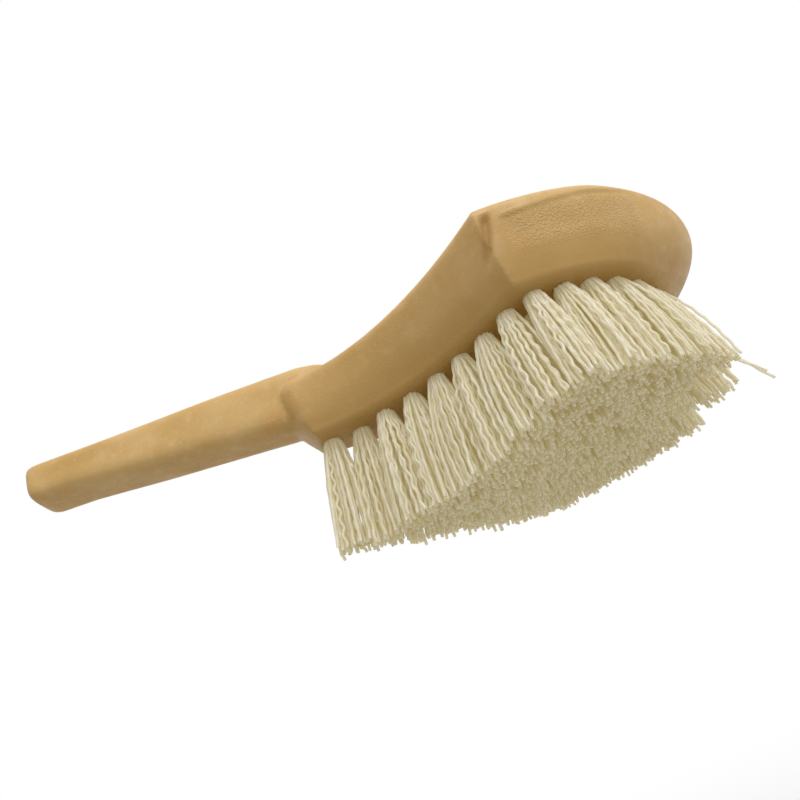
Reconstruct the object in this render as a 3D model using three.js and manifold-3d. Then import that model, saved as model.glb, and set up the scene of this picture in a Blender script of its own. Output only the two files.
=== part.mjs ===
// Wheel brush: a spade-shaped block moulded in one piece with its handle, and tufts of nylon
// filament set in blind holes. Millimetres, +Z up. The brush stands on its bristle tips (z = 0),
// the nose points along +X and the handle along -X; the block is symmetric about y = 0.
import * as THREE from "three";
import { mergeVertices } from "three/addons/utils/BufferGeometryUtils.js";
import Module from "manifold-3d";

const wasm = await Module();
wasm.setup();

// ---- driving dimensions ----
const OVERALL_LENGTH = 217.5;
const HEAD_LENGTH = 130; // neck to nose, top outline
const NECK_X = OVERALL_LENGTH / 2 - HEAD_LENGTH;
const BUTT_X = -OVERALL_LENGTH / 2;
const SHOULDER_U = 61.2; // neck to the widest section
const SHOULDER_HALF = 46;
const NECK_HALF = 11.5;
const LOBE_LENGTH = 9; // rounded end of the head behind the neck
const FLANK_POWER = 2.15;
const NOSE_POWER = 1.95;
const TRIM = 36; // the longest bristles, below the face
const WALL_DRAFT = 2.8; // the foot of the wall stands inside the top outline
const NOSE_CUTBACK = 15; // the nose leans back towards the face
const FOOT_ROUND = 2.4;
const TOP_ROUND = 4;

const HOLE_DEPTH = 12;
const TUFT_GAP = 0.3; // clearance between a tuft and its hole
const HOLE_SIDES = 10;
const OUTER_HOLE = 3; // hole radii
const INNER_HOLE = 3.2;
// Rows of tufts follow the foot of the wall: distance in from it, pitch along the flank and round
// the nose, first tuft from the neck and the most tufts on one side.
const OUTER_ROW = { inset: 6.3, pitch: 9.5, nosePitch: 8.5, start: 21, most: 12 };
const INNER_ROWS = [
  { inset: 16, pitch: 10.2, nosePitch: 10, start: 45, most: 9 },
  { inset: 26, pitch: 10.6, nosePitch: 10.4, start: 55, most: 5 },
];
const CENTRE_TUFTS = [3.2, 12.6, 31, 39.8, 52, 73, 96, 107];
// Lean of the tufts by distance from the neck: along the head, and outward at the full half width.
const FAN_X = [
  [0, -0.08],
  [65, 0],
  [95, 0.04],
  [110, 0.14],
];
const FAN_Y = [
  [54, 0.34],
  [82, 0.17],
  [94, 0.2],
  [104, 0.42],
];
const TIP_SPACE = 0.25; // least gap between neighbouring tufts at the tips

// Top of the block over the bristle face, by distance from the neck.
const CROWN = [
  [-9, 20.2],
  [0, 20.8],
  [10, 21.8],
  [22, 23.2],
  [40, 25.5],
  [60, 27.8],
  [66, 28],
  [96, 28],
  [118, 25],
  [130, 22],
];

// Height of the cut tips over the lowest ones, by distance from the neck: the trim is a little
// hollow, longest between the neck and the shoulder.
const TIP_RISE = [
  [0, 3.4],
  [5, 1.2],
  [12, 0],
  [46, 0],
  [54, 2],
  [62, 3.8],
  [110, 4.6],
];

// Handle stations: x, half width, half height, centre height over the face.
const HANDLE = [
  [BUTT_X, 7.2, 5, 21.3],
  [BUTT_X + 0.5, 7.9, 5.6, 21.2],
  [BUTT_X + 1.4, 8.3, 6, 21.1],
  [BUTT_X + 3, 8.5, 6.3, 21],
  [BUTT_X + 14, 8.5, 6.5, 20.7],
  [BUTT_X + 38, 8.5, 8, 19.3],
  [BUTT_X + 63, 8.5, 9.3, 17.9],
  [BUTT_X + 80, 8.5, 10, 17],
  [BUTT_X + 88, 8.4, 10, 16.9],
  [BUTT_X + 94, 8, 8.8, 16.9],
  [BUTT_X + 101, 7.2, 6.6, 15.8],
  [BUTT_X + 108, 6, 4.6, 14.6],
];
const HANDLE_SQUARENESS = 4;
const HANDLE_SIDES = 24;

function lerpTable(table, u) {
  for (let i = 1; i < table.length; i += 1) {
    if (u <= table[i][0] || i === table.length - 1) {
      const [a, b] = [table[i - 1], table[i]];
      const t = Math.min(Math.max((u - a[0]) / (b[0] - a[0]), 0), 1);
      return a[1] + (b[1] - a[1]) * t;
    }
  }
  return table[0][1];
}

// Half width of the top outline at a distance u from the neck.
function halfWidth(u) {
  if (u < 0) {
    return NECK_HALF * Math.sqrt(Math.max(1 - Math.pow(-u / LOBE_LENGTH, 2.6), 0));
  }
  if (u < SHOULDER_U) {
    return NECK_HALF + (SHOULDER_HALF - NECK_HALF) * Math.pow(u / SHOULDER_U, FLANK_POWER);
  }
  const t = (u - SHOULDER_U) / (HEAD_LENGTH - SHOULDER_U);
  return SHOULDER_HALF * Math.sqrt(Math.max(1 - Math.pow(t, NOSE_POWER), 0));
}

// Points of one side of the top outline, from the lobe's end to the nose, the end points included.
function sideStations() {
  const us = [];
  const lobe = 5;
  const flank = 15;
  const nose = 17;
  for (let i = 0; i < lobe; i += 1) {
    us.push(-LOBE_LENGTH * Math.cos(((i / lobe) * Math.PI) / 2));
  }
  for (let i = 0; i < flank; i += 1) {
    us.push((SHOULDER_U * i) / flank);
  }
  for (let i = 0; i <= nose; i += 1) {
    us.push(SHOULDER_U + (HEAD_LENGTH - SHOULDER_U) * Math.sin(((i / nose) * Math.PI) / 2));
  }
  return us;
}

// The whole outline, anticlockwise seen from above: near side (-y) to the nose, far side back.
function outlinePoints() {
  const side = sideStations().map((u) => new THREE.Vector2(u, -halfWidth(u)));
  const back = side
    .slice(1, -1)
    .reverse()
    .map((p) => new THREE.Vector2(p.x, -p.y));
  return [...side, ...back];
}

// Inward normals of a closed anticlockwise outline.
function inwardNormals(points) {
  return points.map((p, i) => {
    const a = points[(i + points.length - 1) % points.length];
    const b = points[(i + 1) % points.length];
    const t = new THREE.Vector2().subVectors(b, a).normalize();
    return new THREE.Vector2(-t.y, t.x);
  });
}

// One ring of the head's skin: the outline moved inward, the nose cut back, at a height that is a
// fraction of the local crown plus an offset.
function headRing(points, normals, { inset, fraction, offset }) {
  return points.map((p, i) => {
    const crown = lerpTable(CROWN, p.x);
    const height = crown * fraction + offset;
    const depth = Math.max(1 - height / (crown - TOP_ROUND), 0);
    const along = Math.max((p.x - SHOULDER_U) / (HEAD_LENGTH - SHOULDER_U), 0);
    const cut = NOSE_CUTBACK * along * along * depth * depth;
    const end = Math.max(-p.x / LOBE_LENGTH, 0);
    const tuck = 5 * end * depth * depth;
    const x = p.x + normals[i].x * inset - cut + tuck;
    let y = p.y + normals[i].y * inset;
    if (p.y * y < 0) {
      y = 0;
    }
    return new THREE.Vector3(NECK_X + x, y, TRIM + height);
  });
}

const HEAD_RINGS = [
  { inset: WALL_DRAFT + FOOT_ROUND, fraction: 0, offset: 0 },
  { inset: WALL_DRAFT + 0.45 * FOOT_ROUND, fraction: 0, offset: 0.25 * FOOT_ROUND },
  { inset: WALL_DRAFT + 0.1 * FOOT_ROUND, fraction: 0, offset: 0.75 * FOOT_ROUND },
  { inset: 0.55 * WALL_DRAFT, fraction: 0.3, offset: 0 },
  { inset: 0.15 * WALL_DRAFT, fraction: 0.6, offset: 0 },
  { inset: 0, fraction: 1, offset: -TOP_ROUND },
  { inset: 0.14 * TOP_ROUND, fraction: 1, offset: -0.5 * TOP_ROUND },
  { inset: 0.42 * TOP_ROUND, fraction: 1, offset: -0.16 * TOP_ROUND },
  { inset: TOP_ROUND, fraction: 1, offset: 0 },
];

// A closed skin from rings of equal length, each seen anticlockwise from above, lowest first.
// The caps join the points of one side to the mirrored points of the other.
function skinFromRings(rings) {
  const count = rings[0].length;
  const half = count / 2;
  const positions = [];
  const index = [];
  rings.forEach((ring) => ring.forEach((p) => positions.push(p.x, p.y, p.z)));
  for (let r = 0; r + 1 < rings.length; r += 1) {
    for (let i = 0; i < count; i += 1) {
      const j = (i + 1) % count;
      const [a, b] = [r * count + i, r * count + j];
      const [c, d] = [a + count, b + count];
      index.push(a, b, d, a, d, c);
    }
  }
  const cap = (base, up) => {
    for (let i = 0; i < half; i += 1) {
      const near = [base + i, base + i + 1];
      const far = [base + ((count - i) % count), base + count - i - 1];
      const tris = [];
      if (near[0] !== far[0]) {
        tris.push([near[0], near[1], far[0]]);
      }
      if (near[1] !== far[1]) {
        tris.push([far[0], near[1], far[1]]);
      }
      tris.forEach(([a, b, c]) => index.push(...(up ? [a, b, c] : [a, c, b])));
    }
  };
  cap(0, false);
  cap((rings.length - 1) * count, true);
  const geometry = new THREE.BufferGeometry();
  geometry.setAttribute("position", new THREE.Float32BufferAttribute(positions, 3));
  geometry.setIndex(index);
  return geometry;
}

// The handle: superellipse sections joined along x.
function handleGeometry() {
  const positions = [];
  const index = [];
  HANDLE.forEach(([x, halfY, halfZ, centre]) => {
    for (let i = 0; i < HANDLE_SIDES; i += 1) {
      const a = ((i + 0.5) / HANDLE_SIDES) * 2 * Math.PI;
      const [c, s] = [Math.cos(a), Math.sin(a)];
      const power = 2 / HANDLE_SQUARENESS;
      const y = halfY * Math.sign(c) * Math.pow(Math.abs(c), power);
      const z = halfZ * Math.sign(s) * Math.pow(Math.abs(s), power);
      positions.push(x, y, TRIM + centre + z);
    }
  });
  for (let r = 0; r + 1 < HANDLE.length; r += 1) {
    for (let i = 0; i < HANDLE_SIDES; i += 1) {
      const j = (i + 1) % HANDLE_SIDES;
      const [a, b] = [r * HANDLE_SIDES + i, r * HANDLE_SIDES + j];
      const [c, d] = [a + HANDLE_SIDES, b + HANDLE_SIDES];
      index.push(a, b, d, a, d, c);
    }
  }
  const last = (HANDLE.length - 1) * HANDLE_SIDES;
  for (let i = 1; i + 1 < HANDLE_SIDES; i += 1) {
    index.push(0, i + 1, i);
    index.push(last, last + i, last + i + 1);
  }
  const geometry = new THREE.BufferGeometry();
  geometry.setAttribute("position", new THREE.Float32BufferAttribute(positions, 3));
  geometry.setIndex(index);
  return geometry;
}

function toSolid(geometry) {
  const clean = geometry.clone();
  clean.deleteAttribute("normal");
  clean.deleteAttribute("uv");
  const merged = mergeVertices(clean, 1e-4);
  const solid = new wasm.Manifold(
    new wasm.Mesh({
      numProp: 3,
      vertProperties: merged.attributes.position.array,
      triVerts: new Uint32Array(merged.index.array),
    }),
  );
  if (solid.volume() < 0) {
    throw new Error("a skin faces inward");
  }
  return solid;
}

function toGeometry(solid) {
  const mesh = solid.getMesh();
  const geometry = new THREE.BufferGeometry();
  geometry.setAttribute("position", new THREE.BufferAttribute(mesh.vertProperties, 3));
  geometry.setIndex(new THREE.BufferAttribute(mesh.triVerts, 1));
  geometry.computeVertexNormals();
  return geometry;
}

// ---- tuft layout ----
// Half width of the wall's foot, where the tufts are measured from.
function footHalfWidth(u) {
  const cutNose = HEAD_LENGTH - NOSE_CUTBACK;
  if (u < SHOULDER_U) {
    return halfWidth(u) - WALL_DRAFT;
  }
  const t = Math.min((u - SHOULDER_U) / (cutNose - SHOULDER_U), 1);
  return (SHOULDER_HALF - WALL_DRAFT) * Math.sqrt(1 - Math.pow(t, NOSE_POWER));
}

// The foot of the far wall, from the neck to the nose.
function footLine() {
  const steps = 800;
  const nose = HEAD_LENGTH - NOSE_CUTBACK;
  const foot = [];
  for (let i = 0; i <= steps; i += 1) {
    const u = nose * Math.sin(((i / steps) * Math.PI) / 2);
    foot.push(new THREE.Vector2(u, footHalfWidth(u)));
  }
  return foot;
}

// A row of tufts on the far side, at one distance in from the foot and each one pitch from the last.
function sideRow(foot, { inset, pitch, nosePitch, start, most }) {
  const row = [];
  for (let i = 1; i + 1 < foot.length; i += 1) {
    const t = new THREE.Vector2().subVectors(foot[i + 1], foot[i - 1]).normalize();
    const p = new THREE.Vector2(foot[i].x + t.y * inset, foot[i].y - t.x * inset);
    const inside = p.y >= pitch / 2 && foot.every((q) => p.distanceTo(q) > inset - 0.2);
    const step = p.x < SHOULDER_U ? pitch : nosePitch;
    const due = row.length ? p.distanceTo(row[row.length - 1]) >= step : p.x >= start;
    if (inside && due && row.length < most) {
      row.push(p);
    }
  }
  return row;
}

// Where a tuft's tip lies, from where its root is.
function tipOf(root) {
  const fanX = lerpTable(FAN_X, root.x);
  const fanY = (lerpTable(FAN_Y, root.x) * root.y) / SHOULDER_HALF;
  return new THREE.Vector2(root.x + TRIM * fanX, root.y + TRIM * fanY);
}

// Height of a tuft's cut tip over the lowest ones.
function tipHeight(root) {
  return lerpTable(TIP_RISE, root.x);
}

function tuftList() {
  const foot = footLine();
  const two = (n) => String(n).padStart(2, "0");
  const mirrored = (p) => new THREE.Vector2(p.x, -p.y);
  const tufts = [];
  sideRow(foot, OUTER_ROW).forEach((p, i) => {
    tufts.push({ name: `tuft_near_${two(i + 1)}`, root: mirrored(p), hole: OUTER_HOLE });
    tufts.push({ name: `tuft_far_${two(i + 1)}`, root: p, hole: OUTER_HOLE });
  });
  const inner = INNER_ROWS.flatMap((row) => sideRow(foot, row));
  inner.forEach((p, i) => {
    tufts.push({ name: `tuft_inner_near_${two(i + 1)}`, root: mirrored(p), hole: INNER_HOLE });
    tufts.push({ name: `tuft_inner_far_${two(i + 1)}`, root: p, hole: INNER_HOLE });
  });
  CENTRE_TUFTS.forEach((u, i) => {
    const root = new THREE.Vector2(u, 0);
    tufts.push({ name: `tuft_centre_${two(i + 1)}`, root, hole: INNER_HOLE });
  });
  tufts.forEach((t) => {
    t.tip = tipOf(t.root);
  });
  return tufts;
}

// Each tip spreads until it nearly meets its nearest neighbour.
function spread(tufts) {
  tufts.forEach((t) => {
    const gaps = tufts.filter((o) => o !== t).map((o) => o.tip.distanceTo(t.tip));
    t.tipRadius = Math.min((Math.min(...gaps) - TIP_SPACE) / 2, 6);
  });
}

// A tuft as a solid of HOLE_SIDES sides: straight in its hole, then widening to a flat cut tip.
function tuftGeometry({ root, tip, hole, tipRadius }) {
  const inHole = hole - TUFT_GAP;
  const levels = [
    { z: tipHeight(root), r: tipRadius, c: tip },
    { z: 0.45 * TRIM, r: 0.45 * inHole + 0.55 * tipRadius, c: root.clone().lerp(tip, 0.55) },
    { z: TRIM - 1, r: inHole, c: root },
    { z: TRIM + HOLE_DEPTH - TUFT_GAP, r: inHole, c: root },
  ];
  const positions = [];
  const index = [];
  levels.forEach(({ z, r, c }) => {
    for (let i = 0; i < HOLE_SIDES; i += 1) {
      const a = (i / HOLE_SIDES) * 2 * Math.PI;
      positions.push(NECK_X + c.x + r * Math.cos(a), c.y + r * Math.sin(a), z);
    }
  });
  for (let l = 0; l + 1 < levels.length; l += 1) {
    for (let i = 0; i < HOLE_SIDES; i += 1) {
      const j = (i + 1) % HOLE_SIDES;
      const [a, b] = [l * HOLE_SIDES + i, l * HOLE_SIDES + j];
      const [c, d] = [a + HOLE_SIDES, b + HOLE_SIDES];
      index.push(a, b, d, a, d, c);
    }
  }
  const top = (levels.length - 1) * HOLE_SIDES;
  for (let i = 1; i + 1 < HOLE_SIDES; i += 1) {
    index.push(0, i + 1, i);
    index.push(top, top + i, top + i + 1);
  }
  const geometry = new THREE.BufferGeometry();
  geometry.setAttribute("position", new THREE.Float32BufferAttribute(positions, 3));
  geometry.setIndex(index);
  geometry.computeVertexNormals();
  return geometry;
}

// A blind hole, as the solid that is cut away.
function holeSolid({ root, hole }) {
  const depth = HOLE_DEPTH + 6;
  const cutter = new THREE.CylinderGeometry(hole, hole, depth, HOLE_SIDES, 1);
  cutter.rotateX(Math.PI / 2);
  cutter.translate(NECK_X + root.x, root.y, TRIM + HOLE_DEPTH - depth / 2);
  return toSolid(cutter);
}

// ---- assembly ----
const plastic = new THREE.MeshStandardMaterial({ color: 0xc0a06c, roughness: 0.5, metalness: 0 });
const nylon = new THREE.MeshStandardMaterial({ color: 0xd6cba6, roughness: 0.4, metalness: 0 });

const brush = new THREE.Group();
brush.name = "wheel_brush";

const tufts = tuftList();
spread(tufts);

const outline = outlinePoints();
const normals = inwardNormals(outline);
const head = toSolid(skinFromRings(HEAD_RINGS.map((ring) => headRing(outline, normals, ring))));
let blockSolid = head.add(toSolid(handleGeometry()));
tufts.forEach((t) => {
  blockSolid = blockSolid.subtract(holeSolid(t));
});
const block = new THREE.Mesh(toGeometry(blockSolid), plastic);
block.name = "block";
brush.add(block);

tufts.forEach((t) => {
  const tuft = new THREE.Mesh(tuftGeometry(t), nylon);
  tuft.name = t.name;
  brush.add(tuft);
});

export default brush;
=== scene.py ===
"""Wheel brush: a moulded plastic block with its handle, and tufts of crimped nylon filament.

Metres, +Z up, nose along +X. Lengths in the constants are millimetres and are scaled by MM.
"""

import math

import bpy
import numpy as np
from mathutils import Matrix, Vector


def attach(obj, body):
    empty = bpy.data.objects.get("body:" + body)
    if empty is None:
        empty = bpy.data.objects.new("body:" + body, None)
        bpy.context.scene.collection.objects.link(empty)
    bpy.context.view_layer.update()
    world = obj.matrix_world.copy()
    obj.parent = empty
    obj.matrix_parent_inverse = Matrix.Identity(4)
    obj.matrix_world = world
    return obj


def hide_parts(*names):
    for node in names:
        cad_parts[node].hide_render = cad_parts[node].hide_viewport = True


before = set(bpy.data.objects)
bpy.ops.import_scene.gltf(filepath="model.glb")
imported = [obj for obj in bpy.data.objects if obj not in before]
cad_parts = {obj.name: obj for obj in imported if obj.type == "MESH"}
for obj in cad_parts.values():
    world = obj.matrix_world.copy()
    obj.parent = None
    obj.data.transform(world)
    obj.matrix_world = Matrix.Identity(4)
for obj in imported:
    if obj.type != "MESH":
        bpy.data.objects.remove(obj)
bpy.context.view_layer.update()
MM = 0.001

# ---- sizes shared with the CAD model ----
HEAD_LENGTH = 130.0
OVERALL_LENGTH = 217.5
NECK_X = OVERALL_LENGTH / 2 - HEAD_LENGTH
BUTT_X = -OVERALL_LENGTH / 2
SHOULDER_U = 61.2
SHOULDER_HALF = 46.0
NECK_HALF = 11.5
LOBE_LENGTH = 9.0
FLANK_POWER = 2.15
NOSE_POWER = 1.95
TRIM = 36.0
WALL_DRAFT = 2.8
NOSE_CUTBACK = 15.0
FOOT_ROUND = 2.4
TOP_ROUND = 4.0
HOLE_DEPTH = 12.0
OUTER_HOLE = 3.0
TUFT_GAP = 0.3
CROWN = (
    (-9, 20.2), (0, 20.8), (10, 21.8), (22, 23.2), (40, 25.5), (60, 27.8),
    (66, 28), (96, 28), (118, 25), (130, 22),
)
HANDLE = (
    (0, 7.2, 5, 21.3), (0.5, 7.9, 5.6, 21.2), (1.4, 8.3, 6, 21.1), (3, 8.5, 6.3, 21),
    (14, 8.5, 6.5, 20.7), (38, 8.5, 8, 19.3), (63, 8.5, 9.3, 17.9),
    (80, 8.5, 10, 17), (88, 8.4, 10, 16.9), (94, 8, 8.8, 16.9), (101, 7.2, 6.6, 15.8),
    (108, 6, 4.6, 14.6),
)
HANDLE_SQUARENESS = 4.0

# ---- block skin ----
CROWN_STEPS = 400
CROWN_BLUR = 20
HANDLE_SIDES = 64
HANDLE_RINGS = 66
HOLE_SIDES = 28
VOXEL = 0.56
LOBE_CUTBACK = 5.0

# ---- side panel and dent, as distances from the neck and below the crown ----
PANEL_START = 66.0
PANEL_STOP = 112.0
PANEL_DEPTH = 0.6
DENT_U = 64.2
DENT_FOOT_U = 56.6
DENT_SLOPE = 0.33
DENT_HALF_WIDTH = 1.4
DENT_DEPTH = 1.2

# ---- filaments ----
FILAMENT_RADIUS = 0.46
FILAMENTS = 46
CRIMP_LENGTH = 5.3
CRIMP_HEIGHT = 0.25
FLARE_POWER = 2.8
EXTRA_SPREAD = 1.1
STRAY_SHARE = 0.06
STRAY_LEAN = 1.8
SEGMENTS = 36
SIDES = 6
GOLDEN_ANGLE = 2.399963
# Two filaments of a tuft that stand out from the nose, from the tuft's tip centre to theirs.
NOSE_STRAYS = {"tuft_centre_08": ((17.0, 2.0), (13.0, 0.0))}

# ---- anchor wires ----
WIRE_RADIUS = 0.35
WIRE_CLEARANCE = 0.6


def srgb(r, g, b):
    """Linear colour of an 8-bit sRGB one."""
    return tuple(((c / 255 + 0.055) / 1.055) ** 2.4 for c in (r, g, b)) + (1.0,)


def smoothstep(low, high, x):
    t = np.clip((x - low) / (high - low), 0, 1)
    return t * t * (3 - 2 * t)


# ---- block ----
def smooth_crown():
    """The crown's profile with its corners rounded, as distances from the neck and heights."""
    u = np.linspace(-LOBE_LENGTH, HEAD_LENGTH, CROWN_STEPS)
    height = np.interp(u, [c[0] for c in CROWN], [c[1] for c in CROWN])
    window = np.hanning(2 * CROWN_BLUR + 1)
    padded = np.pad(height, CROWN_BLUR, mode="edge")
    return u, np.convolve(padded, window / window.sum(), mode="valid")


CROWN_U, CROWN_HEIGHT = smooth_crown()


def crown(u):
    """Height of the block's top over its bristle face, at a distance u from the neck."""
    return np.interp(u, CROWN_U, CROWN_HEIGHT)


def half_width(u):
    """Half width of the top outline at a distance u from the neck."""
    u = np.asarray(u, float)
    lobe = NECK_HALF * np.sqrt(np.clip(1 - np.abs(np.minimum(u, 0) / LOBE_LENGTH) ** 2.6, 0, 1))
    ratio = np.clip(u / SHOULDER_U, 0, 1)
    flank = NECK_HALF + (SHOULDER_HALF - NECK_HALF) * ratio**FLANK_POWER
    t = np.clip((u - SHOULDER_U) / (HEAD_LENGTH - SHOULDER_U), 0, 1)
    nose = SHOULDER_HALF * np.sqrt(1 - t**NOSE_POWER)
    return np.where(u < 0, lobe, np.where(u < SHOULDER_U, flank, nose))


def outline():
    """The top outline, anticlockwise from above, with the inward normal at each point."""
    lobe = -LOBE_LENGTH * np.cos(np.linspace(0, np.pi / 2, 16, endpoint=False))
    flank = np.linspace(0, SHOULDER_U, 60, endpoint=False)
    nose = SHOULDER_U + (HEAD_LENGTH - SHOULDER_U) * np.sin(np.linspace(0, np.pi / 2, 70))
    u = np.concatenate([lobe, flank, nose])
    side = np.stack([u, -half_width(u)], 1)
    points = np.concatenate([side, side[-2:0:-1] * (1, -1)])
    tangent = np.roll(points, -1, 0) - np.roll(points, 1, 0)
    tangent /= np.linalg.norm(tangent, axis=1)[:, None]
    return points, np.stack([-tangent[:, 1], tangent[:, 0]], 1)


def head_ring(points, normals, inset, height_under):
    """One ring of the head's skin, moved inward and cut back towards the nose.

    height_under gives the ring's height over the face from the crown's height there.
    """
    top = crown(points[:, 0])
    height = height_under(top)
    depth = np.clip(1 - height / (top - TOP_ROUND), 0, 1)
    along = np.clip((points[:, 0] - SHOULDER_U) / (HEAD_LENGTH - SHOULDER_U), 0, 1)
    end = np.clip(-points[:, 0] / LOBE_LENGTH, 0, 1)
    shift = (LOBE_CUTBACK * end - NOSE_CUTBACK * along**2) * depth**2
    x = points[:, 0] + normals[:, 0] * inset + shift
    y = points[:, 1] + normals[:, 1] * inset
    y = np.where(y * points[:, 1] < 0, 0, y)
    return np.stack([NECK_X + x, y, TRIM + height], 1)


def head_rings():
    """The head's rings, from the rounded foot over the drafted wall to the rounded top edge."""
    points, normals = outline()
    rings = []
    for a in np.linspace(0, np.pi / 2, 7):
        inset = WALL_DRAFT + FOOT_ROUND * (1 - math.sin(a))
        rise = FOOT_ROUND * (1 - math.cos(a))
        rings.append(head_ring(points, normals, inset, lambda top, z=rise: top * 0 + z))
    for t in np.linspace(0, 1, 12)[1:-1]:
        span = lambda top, t=t: FOOT_ROUND + (top - TOP_ROUND - FOOT_ROUND) * t
        rings.append(head_ring(points, normals, WALL_DRAFT * (1 - t) ** 2, span))
    for a in np.linspace(0, np.pi / 2, 8):
        inset = TOP_ROUND * (1 - math.cos(a))
        drop = TOP_ROUND * (1 - math.sin(a))
        rings.append(head_ring(points, normals, inset, lambda top, z=drop: top - z))
    return rings


def mesh_from(name, verts, faces):
    """A mesh from vertices in millimetres."""
    mesh = bpy.data.meshes.new(name)
    mesh.from_pydata([tuple(v) for v in np.asarray(verts) * MM], [], faces)
    mesh.validate()
    return mesh


def ring_faces(first, second, count):
    """Faces between two rings of count vertices, numbered from first and from second."""
    return [
        (first + i, first + (i + 1) % count, second + (i + 1) % count, second + i)
        for i in range(count)
    ]


def head_skin(start):
    """Vertices and faces of the closed head, numbered from start."""
    rings = head_rings()
    count = len(rings[0])
    faces = []
    for r in range(len(rings) - 1):
        faces += ring_faces(start + r * count, start + (r + 1) * count, count)
    for base, up in ((start, False), (start + (len(rings) - 1) * count, True)):
        for i in range(count // 2):
            quad = [base + i, base + i + 1, base + count - i - 1, base + (count - i) % count]
            quad = list(dict.fromkeys(quad))
            faces.append(tuple(quad if up else quad[::-1]))
    return np.concatenate(rings), faces


def handle_skin(start):
    """Vertices and faces of the closed handle, numbered from start."""
    stations = np.array(HANDLE)
    shaft = np.linspace(stations[3, 0], stations[-1, 0], HANDLE_RINGS)
    xs = np.concatenate([stations[:3, 0], shaft])
    columns = [np.interp(xs, stations[:, 0], stations[:, k]) for k in (1, 2, 3)]
    angles = (np.arange(HANDLE_SIDES) + 0.5) / HANDLE_SIDES * 2 * np.pi
    power = 2 / HANDLE_SQUARENESS
    across = np.sign(np.cos(angles)) * np.abs(np.cos(angles)) ** power
    upward = np.sign(np.sin(angles)) * np.abs(np.sin(angles)) ** power
    verts = []
    for x, half_y, half_z, centre in zip(xs, *columns):
        ring = np.stack(
            [across * 0 + BUTT_X + x, across * half_y, TRIM + centre + upward * half_z], 1
        )
        verts.append(ring)
    faces = []
    for r in range(len(xs) - 1):
        ring_start = start + r * HANDLE_SIDES
        faces += ring_faces(ring_start, ring_start + HANDLE_SIDES, HANDLE_SIDES)
    last = start + (len(xs) - 1) * HANDLE_SIDES
    faces.append(tuple(start + i for i in reversed(range(HANDLE_SIDES))))
    faces.append(tuple(last + i for i in range(HANDLE_SIDES)))
    return np.concatenate(verts), faces


def apply_modifiers(obj):
    """Replaces obj's mesh by the result of its modifiers."""
    graph = bpy.context.evaluated_depsgraph_get()
    made = bpy.data.meshes.new_from_object(obj.evaluated_get(graph))
    obj.modifiers.clear()
    obj.data = made


def add_object(name, mesh):
    obj = bpy.data.objects.new(name, mesh)
    bpy.context.scene.collection.objects.link(obj)
    return obj


# ---- tuft layout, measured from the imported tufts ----
def tuft_layout():
    """Root, tip centre, lowest height, tip radius and hole radius of each tuft."""
    tufts = []
    for name in sorted(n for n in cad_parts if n.startswith("tuft_")):
        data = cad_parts[name].data
        points = np.empty(len(data.vertices) * 3)
        data.vertices.foreach_get("co", points)
        points = points.reshape(-1, 3) / MM
        cut = points[:, 2].min()
        low = points[points[:, 2] < cut + 0.1]
        high = points[points[:, 2] > TRIM + 1]
        tip = (low.min(0) + low.max(0))[:2] / 2
        root = (high.min(0) + high.max(0))[:2] / 2
        spread = np.linalg.norm(low[:, :2] - tip, axis=1).max()
        hole = np.linalg.norm(high[:, :2] - root, axis=1).max() + TUFT_GAP
        tufts.append(
            {"name": name, "root": root, "tip": tip, "cut": cut, "spread": spread, "hole": hole}
        )
    return tufts


def hole_cutter(tufts):
    """One round plug for each tuft's blind hole, from below the face to the hole's floor."""
    verts = []
    faces = []
    angles = np.arange(HOLE_SIDES) / HOLE_SIDES * 2 * np.pi
    circle = np.stack([np.cos(angles), np.sin(angles)], 1)
    for tuft in tufts:
        start = len(verts) * HOLE_SIDES
        ring = circle * tuft["hole"] + tuft["root"]
        for z in (TRIM - 4, TRIM + HOLE_DEPTH):
            verts.append(np.concatenate([ring, np.full((HOLE_SIDES, 1), z)], 1))
        faces += ring_faces(start, start + HOLE_SIDES, HOLE_SIDES)
        faces.append(tuple(start + i for i in reversed(range(HOLE_SIDES))))
        faces.append(tuple(start + HOLE_SIDES + i for i in range(HOLE_SIDES)))
    return add_object("hole_cutter", mesh_from("hole_cutter", np.concatenate(verts), faces))


def shape_flanks(mesh):
    """Presses the shallow panel and the slanted dent into both side walls."""
    count = len(mesh.vertices)
    co = np.empty(count * 3)
    normal = np.empty(count * 3)
    mesh.vertices.foreach_get("co", co)
    mesh.vertices.foreach_get("normal", normal)
    co = co.reshape(-1, 3) / MM
    normal = normal.reshape(-1, 3)
    u = co[:, 0] - NECK_X
    below = crown(u) - (co[:, 2] - TRIM)
    wall = smoothstep(0.35, 0.7, np.abs(normal[:, 1]))
    wall = wall * smoothstep(-10, 5, u)
    panel = smoothstep(PANEL_START, PANEL_START + 4, u) * smoothstep(PANEL_STOP, PANEL_STOP - 14, u)
    top_line = 7.2 - 0.085 * (u - 67)
    panel = panel * smoothstep(top_line - 0.7, top_line + 0.4, below) * smoothstep(19, 12, below)
    across = (u - DENT_U + DENT_SLOPE * (below - 5)) / DENT_HALF_WIDTH
    dent = np.exp(-(across**2)) * smoothstep(3.8, 6.5, below)
    dent = dent * smoothstep(20, 13, below)
    depth = wall * (PANEL_DEPTH * panel + DENT_DEPTH * dent)
    wobble = 0.12 * np.sin(0.11 * co[:, 0] + 0.5) * np.sin(0.19 * co[:, 2])
    co -= normal * (depth + wobble)[:, None]
    mesh.vertices.foreach_set("co", (co * MM).ravel())
    mesh.update()


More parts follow.
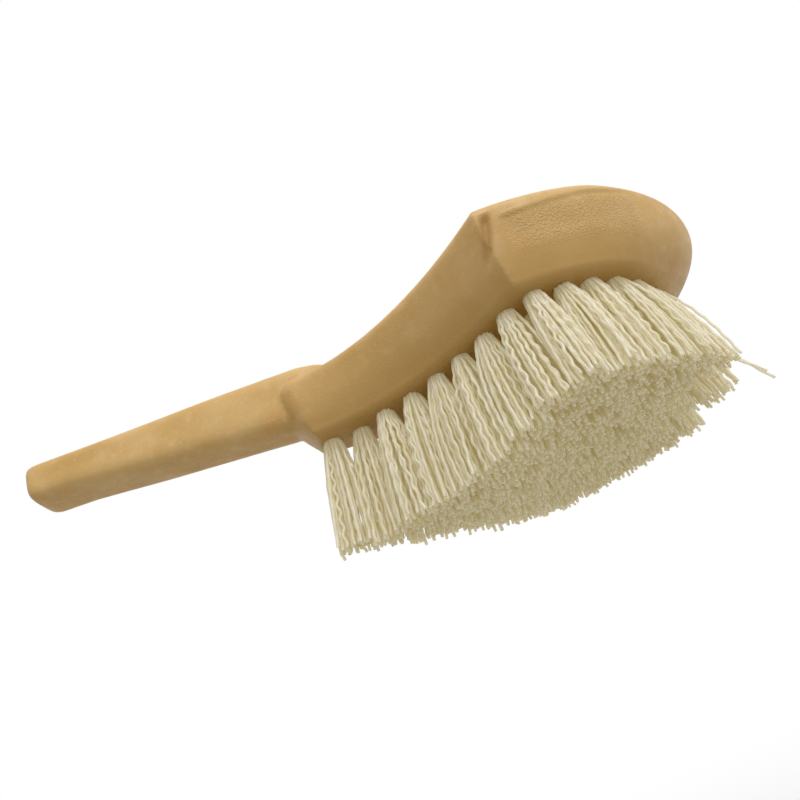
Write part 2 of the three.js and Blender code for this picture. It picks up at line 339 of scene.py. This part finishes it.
def make_block(tufts):
    """The one-piece moulding: head and handle joined, edges softened, holes cut."""
    head, head_faces = head_skin(0)
    handle, handle_faces = handle_skin(len(head))
    verts = np.concatenate([head, handle])
    block = add_object("block_moulding", mesh_from("block", verts, head_faces + handle_faces))
    remesh = block.modifiers.new("union", "REMESH")
    remesh.mode = "VOXEL"
    remesh.voxel_size = VOXEL * MM
    smooth = block.modifiers.new("soften", "SMOOTH")
    smooth.factor = 0.5
    smooth.iterations = 4
    apply_modifiers(block)
    shape_flanks(block.data)
    cutter = hole_cutter(tufts)
    cut = block.modifiers.new("holes", "BOOLEAN")
    cut.operation = "DIFFERENCE"
    cut.solver = "FAST"
    cut.object = cutter
    apply_modifiers(block)
    bpy.data.objects.remove(cutter)
    block.data.shade_smooth()
    block.data.set_sharp_from_angle(angle=math.radians(50))
    return block


# ---- filaments ----
def crimp(count, t, rng):
    """Sideways waves of count filaments along t, which grow from nothing at the hole."""
    lay = rng.uniform(0, np.pi)
    heading = (lay + rng.normal(0, 0.8, count))[:, None]
    phase = rng.uniform(0, 6.28) + rng.normal(0, 0.9, count)
    wave = 2 * np.pi * TRIM / (CRIMP_LENGTH * rng.normal(1, 0.06, count))
    height = CRIMP_HEIGHT * (0.35 + 1.5 * rng.random(count) ** 2)
    grow = smoothstep(0.0, 0.2, t)[None]
    swing = height[:, None] * grow * np.sin(wave[:, None] * t[None] + phase[:, None])
    slow = np.sin(0.6 * wave[:, None] * t[None] + 2 * phase[:, None])
    side = 0.3 * height[:, None] * grow * slow
    x = swing * np.cos(heading) - side * np.sin(heading)
    y = swing * np.sin(heading) + side * np.cos(heading)
    return np.stack([x, y], -1)


def filament_paths(tuft, rng):
    """Centre lines of a tuft's filaments, fold first and cut end last."""
    count = round(FILAMENTS * (tuft["hole"] / OUTER_HOLE) ** 2)
    k = np.arange(count) + 0.5
    reach = np.sqrt(k / count)
    turn = k * GOLDEN_ANGLE + rng.uniform(0, 6.28)
    disc = np.stack([np.cos(turn), np.sin(turn)], 1) * reach[:, None]
    packed = disc * (tuft["hole"] - FILAMENT_RADIUS - 0.05)
    opened = disc * (tuft["spread"] + EXTRA_SPREAD) - packed + rng.normal(0, 0.55, (count, 2))
    lean = np.tile(tuft["tip"] - tuft["root"], (count, 1))
    stray = rng.random(count) < STRAY_SHARE
    lean += stray[:, None] * rng.normal(0, STRAY_LEAN, (count, 2))
    if tuft["name"] in NOSE_STRAYS:
        lean[-2:] += NOSE_STRAYS[tuft["name"]]
    cut = np.abs(rng.normal(0, 0.8, count)) + 0.05
    t = np.linspace(0, 1, SEGMENTS + 1)
    flare = (1 - (1 - t) ** FLARE_POWER)[None, :, None]
    root = tuft["root"] + packed
    xy = root[:, None] + opened[:, None] * flare + lean[:, None] * t[None, :, None]
    z = TRIM * (1 - t)[None] + (tuft["cut"] + cut)[:, None] * t[None]
    xy += crimp(count, t, rng)
    drift = rng.normal(0, 0.35, (count, 2))
    xy += drift[:, None] * np.sin(np.pi * t)[None, :, None]
    visible = np.concatenate([xy, z[..., None]], 2)
    inside = np.concatenate([root, np.full((count, 1), TRIM + 5)], 1)
    fold = np.concatenate(
        [tuft["root"] + (root - tuft["root"]) * (0.75, 0.35), np.full((count, 1), TRIM + 10.2)], 1
    )
    return np.concatenate([fold[:, None], inside[:, None], visible], 1)


def tube_mesh(name, paths, radius, tone):
    """Tubes with flat ends along the paths, all of one length in points."""
    count, length, _ = paths.shape
    tangent = np.gradient(paths, axis=1)
    tangent /= np.linalg.norm(tangent, axis=2)[..., None]
    first = np.cross(tangent, (0.0, 1.0, 0.0))
    first /= np.linalg.norm(first, axis=2)[..., None]
    second = np.cross(tangent, first)
    angles = np.arange(SIDES) / SIDES * 2 * np.pi
    ring = (
        first[:, :, None] * np.cos(angles)[None, None, :, None]
        + second[:, :, None] * np.sin(angles)[None, None, :, None]
    )
    skin = paths[:, :, None] + ring * radius[:, None, None, None]
    ends = skin[:, -1]
    verts = np.concatenate([skin.reshape(-1, 3), ends.reshape(-1, 3)])
    i, j, k = np.meshgrid(
        np.arange(count), np.arange(length - 1), np.arange(SIDES), indexing="ij"
    )
    base = (i * length + j) * SIDES
    after = (k + 1) % SIDES
    quads = np.stack([base + k, base + after, base + SIDES + after, base + SIDES + k], -1)
    quads = quads.reshape(-1, 4)[:, ::-1]
    cap_start = count * length * SIDES
    caps = cap_start + np.arange(count * SIDES).reshape(count, SIDES)
    faces = [tuple(q) for q in quads.tolist()] + [tuple(c) for c in caps[:, ::-1].tolist()]
    mesh = mesh_from(name, verts, faces)
    smooth = np.ones(len(faces), bool)
    smooth[len(quads):] = False
    mesh.polygons.foreach_set("use_smooth", smooth)
    tones = np.concatenate([np.repeat(tone, length * SIDES), np.repeat(tone, SIDES)])
    mesh.attributes.new("tone", "FLOAT", "POINT").data.foreach_set("value", tones)
    return mesh


def make_tuft(tuft, index):
    """All the filaments of one tuft as one mesh, with a tone for each filament, partly random and
    partly painted shade.
    """
    rng = np.random.default_rng(4100 + index)
    paths = filament_paths(tuft, rng)
    radius = FILAMENT_RADIUS * rng.uniform(0.9, 1.08, len(paths))
    # Painted shade, in part: the tone rises from the middle of the bundle outwards, so the inner
    # filaments are painted a yellower ivory for the light that reaches them through the others; the
    # rest of the tone is random.
    tone = np.linspace(0, 1, len(paths)) ** 1.5 * 0.6 + rng.uniform(0, 0.4, len(paths))
    name = tuft["name"].replace("tuft", "filaments")
    return add_object(name, tube_mesh(name, paths, radius, tone))


def anchor_path(tuft, index):
    """Centre line of the bent wire that pins a tuft's fold near the floor of its hole."""
    rng = np.random.default_rng(9300 + index)
    reach = tuft["hole"] - 0.5
    bend = np.array([[-1, -2.2], [-1, -0.6], [-0.75, 0], [0.75, 0], [1, -0.6], [1, -2.2]])
    angle = rng.uniform(-0.2, 0.2)
    x = bend[:, 0] * reach
    return np.stack(
        [
            tuft["root"][0] + x * math.cos(angle),
            tuft["root"][1] + x * math.sin(angle),
            TRIM + HOLE_DEPTH - WIRE_CLEARANCE + bend[:, 1],
        ],
        1,
    )


# ---- materials ----
def new_material(name):
    """A material with its node tree and its Principled shader."""
    material = bpy.data.materials.new(name)
    material.use_nodes = True
    tree = material.node_tree
    shader = tree.nodes["Principled BSDF"]
    return material, tree, shader


def millimetres(tree):
    """Object coordinates in millimetres."""
    coordinates = tree.nodes.new("ShaderNodeTexCoord")
    scale = tree.nodes.new("ShaderNodeVectorMath")
    scale.operation = "SCALE"
    scale.inputs["Scale"].default_value = 1 / MM
    tree.links.new(coordinates.outputs["Object"], scale.inputs[0])
    return scale.outputs[0]


def noise(tree, vector, scale, detail=2.0, rough=0.5):
    node = tree.nodes.new("ShaderNodeTexNoise")
    node.inputs["Scale"].default_value = scale
    node.inputs["Detail"].default_value = detail
    node.inputs["Roughness"].default_value = rough
    tree.links.new(vector, node.inputs["Vector"])
    return node.outputs["Fac"]


def ramp(tree, value, low, high, out_low=0.0, out_high=1.0):
    node = tree.nodes.new("ShaderNodeMapRange")
    node.interpolation_type = "SMOOTHSTEP"
    node.inputs["From Min"].default_value = low
    node.inputs["From Max"].default_value = high
    node.inputs["To Min"].default_value = out_low
    node.inputs["To Max"].default_value = out_high
    tree.links.new(value, node.inputs["Value"])
    return node.outputs["Result"]


def math_node(tree, operation, a, b):
    node = tree.nodes.new("ShaderNodeMath")
    node.operation = operation
    for socket, value in zip(node.inputs, (a, b)):
        if isinstance(value, (int, float)):
            socket.default_value = value
        else:
            tree.links.new(value, socket)
    return node.outputs[0]


def product(tree, first, *others):
    """The product of several values."""
    for other in others:
        first = math_node(tree, "MULTIPLY", first, other)
    return first


def mix_colour(tree, factor, a, b):
    node = tree.nodes.new("ShaderNodeMix")
    node.data_type = "RGBA"
    tree.links.new(factor, node.inputs["Factor"])
    for socket, value in zip((node.inputs["A"], node.inputs["B"]), (a, b)):
        if isinstance(value, tuple):
            socket.default_value = value
        else:
            tree.links.new(value, socket)
    return node.outputs["Result"]


def bump(tree, height, strength, distance, before=None):
    node = tree.nodes.new("ShaderNodeBump")
    node.inputs["Strength"].default_value = strength
    node.inputs["Distance"].default_value = distance * MM
    tree.links.new(height, node.inputs["Height"])
    if before is not None:
        tree.links.new(before, node.inputs["Normal"])
    return node.outputs["Normal"]


def plastic_colour(tree, place, x, z):
    """Tan, clouded and flecked, with painted shade towards the bristle face, low on the head and
    along the dent.
    """
    clouds = ramp(tree, noise(tree, place, 0.045, 4.0, 0.6), 0.35, 0.68)
    colour = mix_colour(tree, clouds, srgb(197, 157, 91), srgb(210, 173, 112))
    warm = ramp(tree, noise(tree, place, 0.16, 3.0, 0.55), 0.5, 0.75, 0.0, 0.5)
    colour = mix_colour(tree, warm, colour, srgb(210, 158, 90))
    speck = ramp(tree, noise(tree, place, 1.15, 2.0, 0.6), 0.61, 0.74, 0.0, 0.5)
    colour = mix_colour(tree, speck, colour, srgb(224, 196, 148))
    pits = tree.nodes.new("ShaderNodeTexVoronoi")
    pits.inputs["Scale"].default_value = 0.22
    tree.links.new(place, pits.inputs["Vector"])
    near_face = ramp(tree, z, TRIM + 12, TRIM + 4)
    pit = product(tree, ramp(tree, pits.outputs["Distance"], 0.06, 0.035), near_face)
    colour = mix_colour(tree, pit, colour, srgb(112, 88, 56))
    blotch = ramp(tree, noise(tree, place, 0.24, 2.0, 0.5), 0.52, 0.7, 0.0, 0.3)
    colour = mix_colour(tree, blotch, colour, srgb(222, 188, 136))
    # Painted shade: the head darkens to a deeper yellow towards the bristle face, where the tufts
    # shade it.
    painted_face_shade = ramp(tree, z, TRIM + 15, TRIM + 1, 0.0, 0.55)
    painted_face_shade = product(tree, painted_face_shade, ramp(tree, x, NECK_X - 10, NECK_X + 4))
    colour = mix_colour(tree, painted_face_shade, colour, srgb(170, 129, 58))
    # Painted shade: from the neck to the end of the panel, the head is darkened below about 20 mm
    # over the bristle face, for the light falling from above.
    side = product(
        tree,
        ramp(tree, z, TRIM + 24, TRIM + 19, 0.0, 0.4),
        ramp(tree, x, NECK_X - 6, NECK_X + 8),
        ramp(tree, x, NECK_X + PANEL_STOP, NECK_X + PANEL_STOP - 14),
    )
    colour = mix_colour(tree, side, colour, srgb(175, 138, 78))
    # Painted shade: a dark band along the slanted dent stands for the shade in its hollow.
    slant = product(tree, math_node(tree, "SUBTRACT", z, TRIM), DENT_SLOPE)
    across = math_node(tree, "SUBTRACT", math_node(tree, "SUBTRACT", x, slant), NECK_X + DENT_FOOT_U)
    dent = product(
        tree,
        ramp(tree, math_node(tree, "ABSOLUTE", across, 0.0), 2.4, 0.4, 0.0, 0.6),
        ramp(tree, z, TRIM + 9, TRIM + 14),
        ramp(tree, z, TRIM + 25, TRIM + 22),
    )
    return mix_colour(tree, dent, colour, srgb(160, 116, 60))


def plastic_relief(tree, place, x, y, z):
    """Leather-like grain on the side panel, a finer one elsewhere, and a slow waviness."""
    panel = product(
        tree,
        ramp(tree, x, NECK_X + PANEL_START, NECK_X + PANEL_START + 5),
        ramp(tree, x, NECK_X + PANEL_STOP, NECK_X + PANEL_STOP - 12),
        product(tree, ramp(tree, z, TRIM + 7, TRIM + 12), ramp(tree, z, TRIM + 23.5, TRIM + 21)),
        ramp(tree, math_node(tree, "ABSOLUTE", y, 0.0), 22.0, 26.0),
    )
    amount = math_node(tree, "ADD", panel, 0.18)
    grain = product(tree, noise(tree, place, 1.9, 1.0, 0.5), amount)
    normal = bump(tree, grain, 1.0, 0.38)
    normal = bump(tree, noise(tree, place, 2.2, 3.0, 0.6), 0.35, 0.06, normal)
    return bump(tree, noise(tree, place, 0.09, 2.0), 0.4, 0.5, normal)


def plastic_material():
    material, tree, shader = new_material("tan_foam_plastic")
    place = millimetres(tree)
    split = tree.nodes.new("ShaderNodeSeparateXYZ")
    tree.links.new(place, split.inputs[0])
    x, y, z = split.outputs
    tree.links.new(plastic_colour(tree, place, x, z), shader.inputs["Base Color"])
    tree.links.new(plastic_relief(tree, place, x, y, z), shader.inputs["Normal"])
    gloss = ramp(tree, noise(tree, place, 0.3, 3.0, 0.6), 0.3, 0.7, 0.4, 0.56)
    tree.links.new(gloss, shader.inputs["Roughness"])
    shader.inputs["Specular IOR Level"].default_value = 0.3
    return material


def nylon_material():
    material, tree, shader = new_material("ivory_nylon")
    place = millimetres(tree)
    tone = tree.nodes.new("ShaderNodeAttribute")
    tone.attribute_name = "tone"
    fade = ramp(tree, noise(tree, place, 0.25, 2.0), 0.3, 0.7)
    mixed = math_node(tree, "MULTIPLY_ADD", tone.outputs["Fac"], 0.7)
    tree.links.new(fade, mixed.node.inputs[2])
    # Low tones, which the inner filaments carry, get the yellower ivory: painted shade from the
    # bundle. The noise and the tone's random part are the nylon's own variation.
    share = ramp(tree, mixed, 0.0, 1.7)
    colour = mix_colour(tree, share, srgb(240, 234, 212), srgb(250, 249, 243))
    tree.links.new(colour, shader.inputs["Base Color"])
    # The glow stands for light handed on from filament to filament inside the bundles.
    shader.inputs["Emission Color"].default_value = (1.0, 0.87, 0.45, 1.0)
    shader.inputs["Emission Strength"].default_value = 0.085
    gloss = ramp(tree, noise(tree, place, 1.2, 2.0), 0.3, 0.7, 0.3, 0.45)
    tree.links.new(gloss, shader.inputs["Roughness"])
    normal = bump(tree, noise(tree, place, 2.0, 2.0), 0.3, 0.08)
    tree.links.new(normal, shader.inputs["Normal"])
    through = tree.nodes.new("ShaderNodeBsdfTranslucent")
    through.inputs["Color"].default_value = srgb(244, 238, 216)
    blend = tree.nodes.new("ShaderNodeMixShader")
    blend.inputs["Fac"].default_value = 0.5
    tree.links.new(shader.outputs[0], blend.inputs[1])
    tree.links.new(through.outputs[0], blend.inputs[2])
    tree.links.new(blend.outputs[0], tree.nodes["Material Output"].inputs["Surface"])
    return material


def wire_material():
    material, tree, shader = new_material("anchor_wire")
    place = millimetres(tree)
    shader.inputs["Metallic"].default_value = 1.0
    tarnish = ramp(tree, noise(tree, place, 0.8, 3.0), 0.35, 0.7)
    colour = mix_colour(tree, tarnish, srgb(176, 170, 158), srgb(138, 128, 112))
    tree.links.new(colour, shader.inputs["Base Color"])
    tree.links.new(ramp(tree, tarnish, 0, 1, 0.25, 0.5), shader.inputs["Roughness"])
    return material


# ---- build ----
tufts = tuft_layout()
plastic = plastic_material()
nylon = nylon_material()
wire = wire_material()

block = make_block(tufts)
block.data.materials.clear()
block.data.materials.append(plastic)
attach(block, "root")
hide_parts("block")

for index, tuft in enumerate(tufts):
    bundle = make_tuft(tuft, index)
    bundle.data.materials.append(nylon)
    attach(bundle, "root")
    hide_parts(tuft["name"])

anchor_paths = np.stack([anchor_path(t, i) for i, t in enumerate(tufts)])
wire_radii = np.full(len(tufts), WIRE_RADIUS)
wire_tones = np.full(len(tufts), 0.5)
anchors = add_object(
    "anchor_wires", tube_mesh("anchor_wires", anchor_paths, wire_radii, wire_tones)
)
anchors.data.materials.append(wire)
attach(anchors, "root")

# ---- stage: a pale floor that is clear from below and lights nothing ----
FLOOR_HALF = 2500
floor_corners = [(x, y, 0) for x, y in ((-1, -1), (1, -1), (1, 1), (-1, 1))]
floor_mesh = mesh_from("floor", np.array(floor_corners) * FLOOR_HALF, [(0, 1, 2, 3)])
floor = add_object("floor", floor_mesh)
floor_material, floor_tree, floor_shader = new_material("pale_floor")
floor_shader.inputs["Base Color"].default_value = (0.86, 0.86, 0.86, 1)
floor_shader.inputs["Roughness"].default_value = 0.8
floor_side = floor_tree.nodes.new("ShaderNodeNewGeometry")
floor_clear = floor_tree.nodes.new("ShaderNodeBsdfTransparent")
floor_mix = floor_tree.nodes.new("ShaderNodeMixShader")
floor_tree.links.new(floor_side.outputs["Backfacing"], floor_mix.inputs["Fac"])
floor_tree.links.new(floor_shader.outputs[0], floor_mix.inputs[1])
floor_tree.links.new(floor_clear.outputs[0], floor_mix.inputs[2])
floor_tree.links.new(floor_mix.outputs[0], floor_tree.nodes["Material Output"].inputs["Surface"])
floor.data.materials.append(floor_material)
floor.visible_diffuse = False
floor.visible_glossy = False
floor.visible_transmission = False
floor.visible_shadow = False

# ---- light: a white studio, dimmer below and to the front left, and a soft key ----
world = bpy.data.worlds.new("studio")
world.use_nodes = True
bpy.context.scene.world = world
sky = world.node_tree
direction = sky.nodes.new("ShaderNodeTexCoord")
sky_split = sky.nodes.new("ShaderNodeSeparateXYZ")
sky.links.new(direction.outputs["Generated"], sky_split.inputs[0])
level = ramp(sky, sky_split.outputs[2], -0.35, -0.05, 0.55, 1.0)
left = ramp(sky, sky_split.outputs[0], -0.15, -0.8, 0.0, 0.5)
front = ramp(sky, sky_split.outputs[1], 0.25, 0.0)
shade = math_node(sky, "MULTIPLY", left, front)
level = math_node(sky, "MULTIPLY", level, math_node(sky, "SUBTRACT", 1.0, shade))
sky.links.new(level, sky.nodes["Background"].inputs["Color"])
sky.nodes["Background"].inputs["Strength"].default_value = 1.0

KEY_PLACE = Vector((0.2, -0.4, 0.65))
KEY_TARGET = Vector((0.02, 0, 0.04))
key_data = bpy.data.lights.new("key", "AREA")
key_data.shape = "DISK"
key_data.size = 0.5
key_data.energy = 2.4
key = add_object("key", key_data)
key.location = KEY_PLACE
key.rotation_euler = (KEY_TARGET - KEY_PLACE).to_track_quat("-Z", "Y").to_euler()

# ---- camera ----
CAMERA_AIM = (NECK_X + HEAD_LENGTH / 2, 0.0, TRIM)
CAMERA_DISTANCE = 220.0
CAMERA_AZIMUTH = math.radians(-2.4)
CAMERA_ELEVATION = math.radians(-28.3)
CAMERA_ROLL = math.radians(-22.4)
CAMERA_ASIDE = (-37.2, -9.4)
CAMERA_LENS = 32.44

back = Vector(
    (
        math.sin(CAMERA_AZIMUTH) * math.cos(CAMERA_ELEVATION),
        -math.cos(CAMERA_AZIMUTH) * math.cos(CAMERA_ELEVATION),
        math.sin(CAMERA_ELEVATION),
    )
)
level_right = Vector((math.cos(CAMERA_AZIMUTH), math.sin(CAMERA_AZIMUTH), 0))
level_up = back.cross(level_right)
right = level_right * math.cos(CAMERA_ROLL) + level_up * math.sin(CAMERA_ROLL)
up = level_up * math.cos(CAMERA_ROLL) - level_right * math.sin(CAMERA_ROLL)
place = Vector(CAMERA_AIM) + back * CAMERA_DISTANCE
place += right * CAMERA_ASIDE[0] + up * CAMERA_ASIDE[1]
camera_data = bpy.data.cameras.new("camera")
camera_data.lens = CAMERA_LENS
camera_data.sensor_width = 36
camera_data.clip_start = 0.005
camera = add_object("camera", camera_data)
rotation = Matrix((right, up, back)).transposed().to_4x4()
camera.matrix_world = Matrix.Translation(place * MM) @ rotation
bpy.context.scene.camera = camera

bpy.context.scene.view_settings.view_transform = "Standard"
